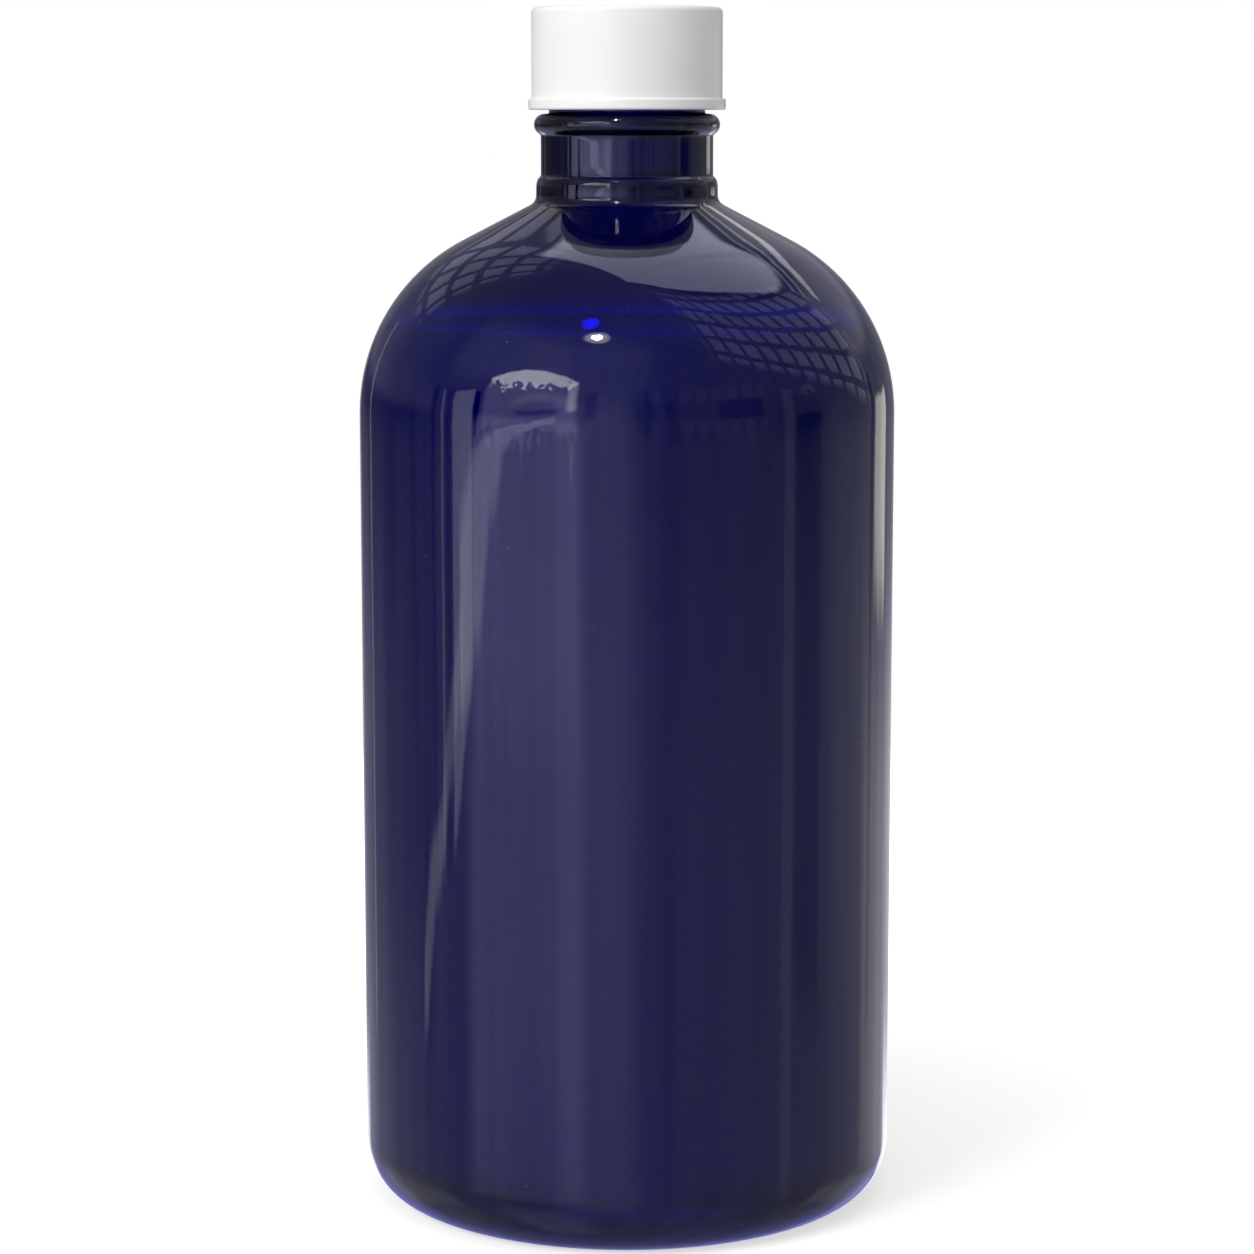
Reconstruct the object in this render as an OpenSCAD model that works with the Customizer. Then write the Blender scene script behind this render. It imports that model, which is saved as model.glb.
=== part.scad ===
// Round-shouldered blown glass bottle of one litre with a moulded screw cap.
// The bottle stands on a ring round a pushed-up base. Above the round shoulder it has
// a short neck, a lifting bead and a threaded mouth. The cap has a plain skirt with a
// lip at its lower edge, a thread inside and a soft sealing disc under its top.

/* [Bottle body] */
// Outer radius of the straight body
body_r = 47.5; // [41:0.5:60]
// Height at which the straight body ends and the shoulder starts
body_h = 141.5; // [80:0.5:220]
// Thickness of the side wall
wall = 2.6; // [1.5:0.1:4]
// Width of the rounded heel, measured inwards from the body
heel_w = 7.9; // [5:0.1:12]
// Height of the rounded heel
heel_h = 9.8; // [6:0.1:16]
// Width of the flat ring that the bottle stands on
bearing_w = 3.2; // [1:0.1:6]
// Height of the pushed-up middle of the base
pushup_h = 3.6; // [1:0.1:8]
// Thickness of the glass in the middle of the base
base_t = 5.2; // [3:0.1:10]

/* [Shoulder and neck] */
// Radius of the arc that bends the body over into the shoulder
shoulder_r = 34.3; // [26:0.1:40]
// Angle through which that arc bends, in degrees
shoulder_turn = 62.7; // [50:0.1:75]
// Radius of the hollow between the shoulder and the collar
shoulder_fillet_r = 1.9; // [1:0.1:4]
// Extra glass in the slope of the shoulder, beyond the side wall
shoulder_extra_t = 0.6; // [0:0.1:2]
// How far the low collar at the foot of the neck stands out of it
collar_w = 0.85; // [0.4:0.05:2]
// Straight height of that collar
collar_h = 1.4; // [0.5:0.1:3]
// Height over which the collar rounds into the neck
collar_round_h = 1.9; // [1:0.1:4]
// Outer radius of the straight neck
neck_r = 15.2; // [14.8:0.05:15.6]
// Straight height of the neck
neck_h = 7.3; // [3:0.1:20]
// Radius of the bore through the neck and mouth
bore_r = 10.6; // [7:0.1:11.5]
// Radius of the inside bend between the shoulder and the bore
throat_r = 6; // [3:0.1:9]

/* [Lifting bead] */
// Radius of the round section of the bead
bead_section_r = 1.9; // [1.2:0.05:2.4]
// How far the bead stands out of the neck
bead_w = 1.2; // [0.8:0.05:1.6]

/* [Threaded mouth] */
// Outer radius of the mouth between the thread's turns
finish_r = 13.75; // [13:0.05:14]
// Height of the mouth above the bead
finish_h = 15.75; // [13:0.05:20]
// Height of the thread on the mouth
finish_thread_h = 1.1; // [0.8:0.05:1.3]
// Rise of the thread in one turn
thread_pitch = 4.233; // [3.8:0.001:4.6]
// Turns of the thread on the mouth
finish_thread_turns = 1.5; // [1:0.25:2]
// Width of the thread on the mouth at its crest
finish_crest_w = 0.95; // [0.5:0.05:1.2]
// Distance from the top of the mouth down to the middle of the thread's upper end
finish_thread_drop = 2.7; // [2.4:0.1:4]
// Slope of the sides of both threads, in degrees
thread_flank = 30; // [20:1:40]
// Rounding of the mouth's rim, inside and outside
mouth_round = 0.8; // [0.3:0.05:1]

/* [Cap] */
// Thickness of the cap's skirt
cap_wall = 1.65; // [1.2:0.05:3]
// How far the lip at the skirt's lower edge stands out of it
cap_lip_w = 0.6; // [0.4:0.05:2]
// Height of that lip
cap_lip_h = 2; // [1:0.1:4]
// Thickness of the cap's top
cap_top_t = 1.5; // [1:0.1:3]
// Gap between the crest of the mouth's thread and the skirt
crest_gap = 0.3; // [0.2:0.05:0.5]
// Gap between the crest of the cap's thread and the mouth
foot_gap = 0.35; // [0.2:0.05:0.6]
// Width of the cap's thread at its crest
cap_crest_w = 0.5; // [0.3:0.05:0.8]
// Turns of the thread in the cap
cap_thread_turns = 1.6; // [1:0.1:1.8]
// Radius of the rounded edge round the cap's top
cap_edge_r = 0.9; // [0.4:0.1:1.3]
// Bevel of the lip's edges
lip_bevel = 0.25; // [0.1:0.05:0.4]
// Bevel inside the skirt's lower edge
skirt_bevel = 0.4; // [0.2:0.1:1]
// Gap between the bead and the skirt when the cap is tight
skirt_gap = 0.65; // [0.3:0.05:2]
// Play between the two threads when the cap is tight
thread_play = 0.12; // [0.08:0.01:0.3]

/* [Sealing disc] */
// Thickness of the disc under the cap's top
liner_t = 1.15; // [0.5:0.05:2]
// Gap between the disc's edge and the skirt
liner_gap = 0.35; // [0.3:0.05:0.8]

/* [Contents] */
// Height of the liquid's surface above the foot of the shoulder
fill_rise = 15.7; // [-60:0.1:18]
// Gap between the liquid's solid and the glass
fill_gap = 0.1; // [0.05:0.05:0.3]

/* [Hidden] */
$fn = 96;
// Colours
glass_colour = [0.07, 0.10, 0.36];
contents_colour = [0.03, 0.04, 0.16];
cap_colour = [0.93, 0.93, 0.92];
liner_colour = [0.86, 0.86, 0.83];
// Straight steps in each arc, and in one turn of a thread
arc_steps = 18;
small_arc_steps = 8;
thread_steps = 60;
// How far a thread's foot is sunk into its wall, and the share of a turn over which it fades out
thread_sink = 0.3;
thread_fade = 0.1;
// Direction in which the mouth's thread starts, from the X axis
thread_start = 93;

// Radii of the neck, the mouth and the cap, each worked out from the one inside it
collar_r = neck_r + collar_w;
bead_centre_r = neck_r + bead_w - bead_section_r;
finish_thread_r = finish_r + finish_thread_h;
cap_thread_r = finish_r + foot_gap;
cap_inner_r = finish_thread_r + crest_gap;
cap_r = cap_inner_r + cap_wall;
cap_lip_r = cap_r + cap_lip_w;
liner_r = cap_inner_r - liner_gap;

// Heights up the bottle, each worked out from the one below it
slope = 90 - shoulder_turn;
shoulder_end_r = body_r - shoulder_r * (1 - cos(shoulder_turn));
shoulder_end_z = body_h + shoulder_r * sin(shoulder_turn);
fillet_centre_r = collar_r + shoulder_fillet_r;
fillet_start_r = fillet_centre_r - shoulder_fillet_r * sin(slope);
fillet_start_z = shoulder_end_z + (shoulder_end_r - fillet_start_r) * tan(slope);
fillet_centre_z = fillet_start_z + shoulder_fillet_r * cos(slope);
collar_top_z = fillet_centre_z + collar_h;
neck_z = collar_top_z + collar_round_h;
bead_foot = sqrt(pow(bead_section_r, 2) - pow(neck_r - bead_centre_r, 2));
bead_z = neck_z + neck_h + bead_foot;
finish_z = bead_z + bead_section_r;
mouth_z = finish_z + finish_h;

// Radii and heights of the base
bearing_out_r = body_r - heel_w;
bearing_in_r = bearing_out_r - bearing_w;
floor_r = body_r - wall - heel_w;
floor_edge_z = base_t;
floor_middle_z = pushup_h + base_t;
fill_z = body_h + fill_rise;

// Heights of the cap, which seals on the mouth through the disc
skirt_z = finish_z + skirt_gap;
cap_inner_top_z = mouth_z + liner_t;
cap_top_z = cap_inner_top_z + cap_top_t;

// Widths of the threads at their feet, and where each one starts
finish_root_w = finish_crest_w + 2 * (finish_thread_r - finish_r) * tan(thread_flank);
cap_root_w = cap_crest_w + 2 * (cap_inner_r - cap_thread_r) * tan(thread_flank);
finish_thread_z = mouth_z - finish_thread_drop - finish_thread_turns * thread_pitch;
flank_reach = (finish_thread_r - cap_thread_r) * tan(thread_flank);
thread_offset = (finish_crest_w + cap_crest_w) / 2 + flank_reach + thread_play;
cap_thread_extra = (cap_thread_turns - finish_thread_turns) * thread_pitch;
cap_thread_z = finish_thread_z - thread_offset - cap_thread_extra;
cap_thread_start = thread_start - 360 * (cap_thread_turns - finish_thread_turns);

// Points along an arc or a quarter of an ellipse, as radius and height
function arc(centre, width, height, from, to, steps) = [
    for (i = [0 : steps])
    let (a = from + (to - from) * i / steps)
    [centre[0] + width * cos(a), centre[1] + height * sin(a)]
];

// Points along a shallow dome, from its rim in to the axis
function dome(rim_r, rim_z, rise, steps) = [
    for (i = [0 : steps])
    let (s = 1 - i / steps)
    [rim_r * s, rim_z + rise * (1 - s * s)]
];

function reversed(points) = [for (i = [len(points) - 1 : -1 : 0]) points[i]];

// The bottle's outer outline, from the bearing ring up to the mouth
function outer_outline() = concat(
    arc([bearing_out_r, heel_h], heel_w, heel_h, -90, 0, arc_steps),
    arc([body_r - shoulder_r, body_h], shoulder_r, shoulder_r, 0, shoulder_turn, arc_steps),
    arc([fillet_centre_r, fillet_centre_z], shoulder_fillet_r, shoulder_fillet_r,
        270 - slope, 180, small_arc_steps),
    arc([neck_r, collar_top_z], collar_r - neck_r, collar_round_h, 0, 90, small_arc_steps),
    arc([bead_centre_r, bead_z], bead_section_r, bead_section_r,
        -acos((neck_r - bead_centre_r) / bead_section_r), 90, arc_steps),
    [[finish_r, finish_z]],
    arc([finish_r - mouth_round, mouth_z - mouth_round], mouth_round, mouth_round,
        0, 90, small_arc_steps)
);

// Depth of the inner shoulder below the outer one, which thickens towards the neck
inner_shoulder_r = shoulder_r - wall;
inner_end_r = body_r - wall - inner_shoulder_r * (1 - cos(shoulder_turn)) - shoulder_extra_t * sin(slope);
inner_end_z = body_h + inner_shoulder_r * sin(shoulder_turn) - shoulder_extra_t * cos(slope);
inner_neck_z = inner_end_z + (inner_end_r - bore_r) * tan(slope);

// The liquid's side: the inner outline without its neck, drawn in by a gap
function inner_wall(gap) = concat(
    reversed(dome(floor_r, floor_edge_z + gap, floor_middle_z - floor_edge_z, arc_steps)),
    arc([floor_r, floor_edge_z + heel_h], heel_w - gap, heel_h - gap, -90, 0, arc_steps),
    arc([body_r - wall - inner_shoulder_r, body_h], inner_shoulder_r - gap, inner_shoulder_r - gap,
        0, shoulder_turn, arc_steps)
);

// The throat, which bends the inner shoulder up into the bore
function throat() = arc(
    [bore_r + throat_r, inner_neck_z + throat_r * tan(45 - slope / 2)],
    throat_r, throat_r, 270 - slope, 180, small_arc_steps
);

// A ridge that winds upwards round the axis, fading out at both ends
module thread_ridge(foot_r, crest_r, foot_w, crest_w, turns) {
    out = sign(crest_r - foot_r);
    count = round(turns * thread_steps);
    sections = [
        for (i = [0 : count])
        let (
            turn = i * turns / count,
            strength = min(1, turn / thread_fade, (turns - turn) / thread_fade),
            a = 360 * turn,
            z = thread_pitch * turn,
            top_r = foot_r + (crest_r - foot_r) * strength - out * thread_sink / 3 * (1 - strength),
            low_r = foot_r - out * thread_sink,
            low_w = foot_w + 2 * thread_sink * tan(thread_flank),
            top_w = crest_w + 2 * abs(crest_r - top_r) * tan(thread_flank)
        )
        each [
            [low_r * cos(a), low_r * sin(a), z - low_w / 2],
            [top_r * cos(a), top_r * sin(a), z - top_w / 2],
            [top_r * cos(a), top_r * sin(a), z + top_w / 2],
            [low_r * cos(a), low_r * sin(a), z + low_w / 2]
        ]
    ];
    sides = [
        for (i = [0 : count - 1], k = [0 : 3])
        let (a = 4 * i + k, b = 4 * i + (k + 1) % 4)
        each [[a, a + 4, b], [b, a + 4, b + 4]]
    ];
    ends = [[0, 1, 2], [0, 2, 3], [4 * count, 4 * count + 2, 4 * count + 1],
        [4 * count, 4 * count + 3, 4 * count + 2]];
    faces = concat(sides, ends);
    polyhedron(sections, out < 0 ? faces : [for (f = faces) reversed(f)], convexity = 6);
}

// The blown bottle with its threaded mouth
module glass_bottle() {
    color(glass_colour) {
        rotate_extrude()
        polygon(concat(
            reversed(dome(bearing_in_r, 0, pushup_h, arc_steps)),
            outer_outline(),
            arc([bore_r + mouth_round, mouth_z - mouth_round], mouth_round, mouth_round,
                90, 180, small_arc_steps),
            reversed(throat()),
            reversed(inner_wall(0))
        ));
        translate([0, 0, finish_thread_z])
        rotate([0, 0, thread_start])
        thread_ridge(finish_r, finish_thread_r, finish_root_w, finish_crest_w, finish_thread_turns);
    }
}

// The liquid, cut off level at its surface
module contents() {
    color(contents_colour)
    intersection() {
        rotate_extrude()
        polygon(concat(inner_wall(fill_gap), [[0, inner_end_z]]));
        cylinder(r = body_r, h = fill_z);
    }
}

// The moulded cap: top, skirt with its lip, and the thread inside
module cap() {
    color(cap_colour) {
        rotate_extrude()
        polygon(concat(
            [[0, cap_inner_top_z], [cap_inner_r, cap_inner_top_z]],
            [[cap_inner_r, skirt_z + skirt_bevel], [cap_inner_r + skirt_bevel, skirt_z]],
            [[cap_lip_r - lip_bevel, skirt_z], [cap_lip_r, skirt_z + lip_bevel]],
            [[cap_lip_r, skirt_z + cap_lip_h - lip_bevel], [cap_lip_r - lip_bevel, skirt_z + cap_lip_h]],
            [[cap_r, skirt_z + cap_lip_h]],
            arc([cap_r - cap_edge_r, cap_top_z - cap_edge_r], cap_edge_r, cap_edge_r,
                0, 90, small_arc_steps),
            [[0, cap_top_z]]
        ));
        translate([0, 0, cap_thread_z])
        rotate([0, 0, cap_thread_start])
        thread_ridge(cap_inner_r, cap_thread_r, cap_root_w, cap_crest_w, cap_thread_turns);
    }
}

// The soft disc that the mouth seals against
module liner() {
    color(liner_colour)
    translate([0, 0, mouth_z])
    cylinder(r = liner_r, h = liner_t);
}

glass_bottle();
contents();
cap();
liner();
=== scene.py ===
from math import acos, cos, pi, radians, sin, sqrt, tan

import bpy
import numpy as np
from bpy.props import FloatProperty, FloatVectorProperty, IntProperty, PointerProperty
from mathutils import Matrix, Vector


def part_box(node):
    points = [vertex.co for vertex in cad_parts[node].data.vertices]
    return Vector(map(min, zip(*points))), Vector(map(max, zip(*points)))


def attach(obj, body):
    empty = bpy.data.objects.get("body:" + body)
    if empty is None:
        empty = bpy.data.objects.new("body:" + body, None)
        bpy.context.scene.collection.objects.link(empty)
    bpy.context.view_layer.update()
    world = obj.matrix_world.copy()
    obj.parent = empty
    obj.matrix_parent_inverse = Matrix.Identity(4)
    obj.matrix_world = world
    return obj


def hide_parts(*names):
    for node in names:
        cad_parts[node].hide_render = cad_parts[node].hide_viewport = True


bl_info = {
    "name": "Glass bottle",
    "version": (1, 0, 0),
    "blender": (4, 5, 0),
    "location": "3D View > Sidebar > Bottle",
    "description": "Builds a blown glass bottle with its liquid, screw cap and sealing disc",
    "category": "Add Mesh",
}

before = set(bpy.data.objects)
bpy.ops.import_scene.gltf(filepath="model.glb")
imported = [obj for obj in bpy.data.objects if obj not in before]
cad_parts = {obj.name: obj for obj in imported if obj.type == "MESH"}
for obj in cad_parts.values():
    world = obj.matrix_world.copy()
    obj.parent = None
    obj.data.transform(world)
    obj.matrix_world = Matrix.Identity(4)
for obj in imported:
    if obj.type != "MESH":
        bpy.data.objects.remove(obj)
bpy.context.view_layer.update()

MM = 0.001
BOTTLE_LOW, BOTTLE_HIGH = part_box("glass_bottle")
LIQUID_LOW, LIQUID_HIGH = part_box("contents")
CAP_LOW, CAP_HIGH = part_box("cap")
LINER_LOW, LINER_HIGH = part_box("liner")


def millimetres(name, text, size):
    """A length that a user may change, given here in millimetres."""
    return FloatProperty(
        name=name, description=text, default=size * MM, min=0, precision=5, unit="LENGTH"
    )


def degrees(name, text, size):
    """An angle that a user may change, given here in degrees."""
    return FloatProperty(
        name=name, description=text, default=radians(size), subtype="ANGLE", unit="ROTATION"
    )


def plain(name, text, size, top=100.0):
    """A number without a unit that a user may change."""
    return FloatProperty(name=name, description=text, default=size, min=0, max=top)


def colour(name, text, red, green, blue):
    """A colour that a user may change, in linear light."""
    return FloatVectorProperty(
        name=name, description=text, default=(red, green, blue), size=3, min=0, max=1, subtype="COLOR"
    )


class BottleSizes(bpy.types.PropertyGroup):
    """Driving sizes of the glass, the same as those of the solids."""

    body_h: millimetres("Body height", "Height at which the shoulder starts", 141.5)
    wall: millimetres("Wall", "Thickness of the side wall", 2.6)
    heel_w: millimetres("Heel width", "Width of the rounded heel", 7.9)
    heel_h: millimetres("Heel height", "Height of the rounded heel", 9.8)
    bearing_w: millimetres("Bearing ring", "Width of the ring that the bottle stands on", 3.2)
    pushup_h: millimetres("Push-up", "Height of the pushed-up middle of the base", 3.6)
    base_t: millimetres("Base", "Thickness of the glass in the base", 5.2)
    shoulder_r: millimetres("Shoulder radius", "Radius of the shoulder's arc", 34.3)
    shoulder_turn: degrees("Shoulder turn", "Angle through which the shoulder bends", 62.7)
    fillet_r: millimetres("Neck fillet", "Radius of the hollow below the collar", 1.9)
    shoulder_extra: millimetres("Shoulder glass", "Extra glass in the shoulder's slope", 0.6)
    collar_w: millimetres("Collar width", "How far the low collar stands out", 0.85)
    collar_h: millimetres("Collar height", "Straight height of the collar", 1.4)
    collar_round: millimetres("Collar rounding", "Height of the collar's rounding", 1.9)
    neck_r: millimetres("Neck radius", "Outer radius of the neck", 15.2)
    neck_h: millimetres("Neck height", "Straight height of the neck", 7.3)
    bore_r: millimetres("Bore radius", "Radius of the bore", 10.6)
    throat_r: millimetres("Throat radius", "Radius of the bend into the bore", 6)
    bead_r: millimetres("Bead radius", "Radius of the bead's round section", 1.9)
    bead_w: millimetres("Bead width", "How far the bead stands out of the neck", 1.2)
    finish_r: millimetres("Mouth radius", "Outer radius between the thread's turns", 13.75)
    finish_h: millimetres("Mouth height", "Height of the mouth above the bead", 15.75)
    thread_h: millimetres("Thread height", "Height of the mouth's thread", 1.1)
    thread_w: millimetres("Thread crest", "Width of the mouth's thread at its crest", 0.95)
    thread_turns: plain("Thread turns", "Turns of the mouth's thread", 1.5, 3)
    thread_drop: millimetres("Thread drop", "From the mouth's top down to the thread", 2.7)
    thread_pitch: millimetres("Thread pitch", "Rise of both threads in one turn", 4.233)
    thread_flank: degrees("Thread flank", "Slope of the sides of both threads", 30)
    thread_start: degrees("Thread start", "Direction in which the mouth's thread starts", 93)
    mouth_round: millimetres("Rim rounding", "Rounding of the mouth's rim", 0.8)
    stipple_h: millimetres("Stippling", "Depth of the small ribs on the bearing ring", 0.25)
    stipples: IntProperty(name="Ribs", description="Ribs round the bearing ring", default=64)
    meniscus_h: millimetres("Meniscus height", "Rise of the liquid at the glass", 0.6)
    meniscus_w: millimetres("Meniscus width", "Width of the liquid's curved edge", 1.4)
    wetting: millimetres("Wetting", "How far the liquid reaches into the glass", 0.12)


class CapSizes(bpy.types.PropertyGroup):
    """Driving sizes of the cap and its sealing disc, the same as those of the solids."""

    wall: millimetres("Skirt wall", "Thickness of the cap's skirt", 1.65)
    lip_w: millimetres("Lip width", "How far the lip stands out of the skirt", 0.6)
    lip_h: millimetres("Lip height", "Height of the lip", 2)
    top_t: millimetres("Top", "Thickness of the cap's top", 1.5)
    edge_r: millimetres("Top edge", "Radius of the top's rounded edge", 0.9)
    lip_bevel: millimetres("Lip bevel", "Bevel of the lip's edges", 0.25)
    skirt_bevel: millimetres("Skirt bevel", "Bevel inside the skirt's lower edge", 0.4)
    thread_h: millimetres("Thread height", "Height of the cap's thread", 1.05)
    thread_w: millimetres("Thread crest", "Width of the cap's thread at its crest", 0.5)
    thread_turns: plain("Thread turns", "Turns of the cap's thread", 1.6, 3)
    thread_play: millimetres("Thread play", "Play between the two threads", 0.12)
    foot_gap: millimetres("Foot gap", "Gap between the cap's thread and the mouth", 0.35)
    gate_r: millimetres("Gate mark", "Radius of the dimple in the top's middle", 1.6)
    gate_depth: millimetres("Gate depth", "Depth of that dimple", 0.18)
    imprint: millimetres("Imprint", "Depth of the mouth's print in the disc", 0.12)


class BottleFinish(bpy.types.PropertyGroup):
    """Colours and finishes."""

    glass_tint: colour("Glass tint", "Tint of the glass's own surface", 0.93, 0.95, 1.0)
    glass_body: colour("Glass colour", "Colour that light takes inside the glass", 0.02, 0.01, 0.76)
    glass_density: plain("Glass density", "How fast light takes that colour, a metre", 1500, 1e4)
    liquid: colour("Liquid", "Colour of the liquid", 0.014, 0.018, 0.52)
    # painted reflection: a lighter colour on the liquid's surface, standing in for the light that it
    # mirrors
    liquid_top_reflection: colour("Liquid's surface", "Colour of the liquid's lighter surface", 0.05, 0.05, 0.85)
    plastic: colour("Plastic", "Colour of the moulded cap", 0.87, 0.87, 0.865)
    foam: colour("Foam", "Colour of the sealing disc", 0.80, 0.80, 0.77)
    unevenness: millimetres("Unevenness", "Height of the glass's slow waves", 0.035)


class StageSettings(bpy.types.PropertyGroup):
    """Floor, lights and camera."""

    camera_distance: millimetres("Distance", "From the bottle's axis to the camera", 619.7)
    camera_height: millimetres("Height", "Height of the camera", 193.73)
    camera_pitch: degrees("Pitch", "How far the camera looks down", 8.354)
    camera_lens: plain("Lens", "Focal length in millimetres", 100, 500)
    camera_sensor: plain("Sensor", "Width of the sensor in millimetres", 36, 100)
    floor_size: millimetres("Floor", "Radius of the pale floor", 450)
    fill: plain("Fill", "Even light from all sides", 0.5)
    surround: plain("Surround", "Brightness of the studio that the glass mirrors", 1.0)


OUTLINE_STEP = 0.05 * MM
GLASS_COLUMNS = 256
SMALL_COLUMNS = 192
GLASS_ROUNDING = 0.22 * MM
PLASTIC_ROUNDING = 0.09 * MM
GLASS_ROW = 4.0 * MM
THREAD_ROW = 0.15 * MM
ROW_TURN = radians(5)
THREAD_FADE = 0.1


def arc(centre, width, height, start, end, steps=48):
    """Points on an ellipse: the centre plus (width cos a, height sin a) for even steps of a."""
    a = np.linspace(start, end, steps + 1)
    return np.stack([centre[0] + width * np.cos(a), centre[1] + height * np.sin(a)], axis=1)


def dome(rim_r, rim_z, rise, steps=48):
    """Points from the axis out to a rim: the height is the rim's plus rise times 1 - (r / rim)^2."""
    share = np.linspace(0, 1, steps + 1)
    return np.stack([rim_r * share, rim_z + rise * (1 - share**2)], axis=1)


def outer_outline(s):
    """The bottle's outside as (r, z): push-up, ring, heel, body, shoulder, neck, bead and mouth, each
    arc starting where the one before it ends."""
    body_r, mouth_z = BOTTLE_HIGH.x, BOTTLE_HIGH.z
    slope = pi / 2 - s.shoulder_turn
    ring_out = body_r - s.heel_w
    bead_centre_r = s.neck_r + s.bead_w - s.bead_r
    bead_foot = sqrt(s.bead_r**2 - (s.neck_r - bead_centre_r) ** 2)
    finish_z = mouth_z - s.finish_h
    bead_z = finish_z - s.bead_r
    collar_top = bead_z - bead_foot - s.neck_h - s.collar_round
    fillet = (s.neck_r + s.collar_w + s.fillet_r, collar_top - s.collar_h)
    rim = (s.finish_r - s.mouth_round, mouth_z - s.mouth_round)
    shoulder = (body_r - s.shoulder_r, s.body_h)
    bead_start = -acos((s.neck_r - bead_centre_r) / s.bead_r)
    return np.concatenate([
        dome(ring_out - s.bearing_w, 0, s.pushup_h),
        arc((ring_out, s.heel_h), s.heel_w, s.heel_h, -pi / 2, 0),
        arc(shoulder, s.shoulder_r, s.shoulder_r, 0, s.shoulder_turn),
        arc(fillet, s.fillet_r, s.fillet_r, 1.5 * pi - slope, pi),
        arc((s.neck_r, collar_top), s.collar_w, s.collar_round, 0, pi / 2),
        arc((bead_centre_r, bead_z), s.bead_r, s.bead_r, bead_start, pi / 2),
        [(s.finish_r, finish_z)],
        arc(rim, s.mouth_round, s.mouth_round, 0, pi / 2),
    ])


def inner_shoulder(s, gap=0.0):
    """The inside's floor, heel and shoulder as (r, z), from the axis up to the foot of the throat, each
    arc drawn in by gap."""
    body_r = BOTTLE_HIGH.x
    floor_r = body_r - s.wall - s.heel_w
    radius = s.shoulder_r - s.wall
    return np.concatenate([
        dome(floor_r, s.base_t + gap, s.pushup_h),
        arc((floor_r, s.base_t + s.heel_h), s.heel_w - gap, s.heel_h - gap, -pi / 2, 0),
        arc((body_r - s.wall - radius, s.body_h), radius - gap, radius - gap, 0, s.shoulder_turn),
    ])


def throat(s):
    """The bend from the inner shoulder up into the bore, an arc that touches both."""
    slope = pi / 2 - s.shoulder_turn
    radius = s.shoulder_r - s.wall
    end_r = BOTTLE_HIGH.x - s.wall - radius * (1 - cos(s.shoulder_turn)) - s.shoulder_extra * sin(slope)
    end_z = s.body_h + radius * sin(s.shoulder_turn) - s.shoulder_extra * cos(slope)
    foot_z = end_z + (end_r - s.bore_r) * tan(slope)
    centre = (s.bore_r + s.throat_r, foot_z + s.throat_r * tan((pi / 2 - slope) / 2))
    return arc(centre, s.throat_r, s.throat_r, 1.5 * pi - slope, pi)


def rounded(points, rounding):
    """The outline stepped evenly, each point then averaged with its neighbours by a bell curve as wide as
    rounding, which rounds the corners. Beyond each end the outline runs on mirrored in the axis, so the
    ends stay on the axis and level."""
    points = np.asarray(points, float)
    along = np.concatenate([[0], np.cumsum(np.hypot(*np.diff(points, axis=0).T))])
    even = np.linspace(0, along[-1], int(along[-1] / OUTLINE_STEP) + 1)
    line = np.stack([np.interp(even, along, points[:, k]) for k in (0, 1)], axis=1)
    reach = int(4 * rounding / OUTLINE_STEP)
    mirror = np.array([-1, 1])
    padded = np.concatenate([line[reach:0:-1] * mirror, line, line[-2:-reach - 2:-1] * mirror])
    bell = np.exp(-0.5 * (np.arange(-reach, reach + 1) * OUTLINE_STEP / rounding) ** 2)
    bell /= bell.sum()
    line = np.stack([np.convolve(padded[:, k], bell, mode="valid") for k in (0, 1)], axis=1)
    line[[0, -1], 0] = 0
    return line


def rows_along(line, longest, fine_r=None, fine_low=0.0, fine_high=0.0):
    """Rows chosen along a line: each row adds its length over the longest step and its turning over
    ROW_TURN, and the wall at radius fine_r between two heights is stepped by THREAD_ROW."""
    step = np.diff(line, axis=0)
    length = np.hypot(*step.T)
    heading = np.unwrap(np.arctan2(step[:, 1], step[:, 0]))
    cost = length / longest
    cost[1:] += np.abs(np.diff(heading)) / ROW_TURN
    if fine_r is not None:
        near = np.abs(line[1:, 0] - fine_r) < OUTLINE_STEP
        near &= (line[1:, 1] > fine_low) & (line[1:, 1] < fine_high)
        cost = np.where(near, np.maximum(cost, length / THREAD_ROW), cost)
    total = np.concatenate([[0], np.cumsum(cost)])
    picks = np.linspace(0, total[-1], int(total[-1]) + 2)
    return np.stack([np.interp(picks, total, line[:, k]) for k in (0, 1)], axis=1)


def thread_relief(z, angle, start_z, start_angle, pitch, turns, crest_w, height, flank):
    """Height of a winding ridge over its wall. At each direction the ridge's middle lies at start_z plus
    pitch times the turns since start_angle, once for each full turn. Across it the height is full over
    crest_w and falls along smooth flanks, and it fades out over THREAD_FADE of a turn at both ends."""
    foot_w = crest_w + 2 * height * tan(flank)
    relief = np.zeros(np.broadcast(z, angle).shape)
    first = np.mod(angle - start_angle, 2 * pi) / (2 * pi)
    for whole in range(int(turns) + 1):
        turn = first + whole
        strength = np.clip(np.minimum(turn, turns - turn) / THREAD_FADE, 0, 1)
        across = np.abs(z - start_z - pitch * turn)
        share = np.clip((foot_w / 2 - across) / (foot_w / 2 - crest_w / 2), 0, 1)
        smooth = share**2 * (3 - 2 * share)
        relief = np.maximum(relief, height * np.sqrt(strength) * smooth)
    return relief


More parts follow.
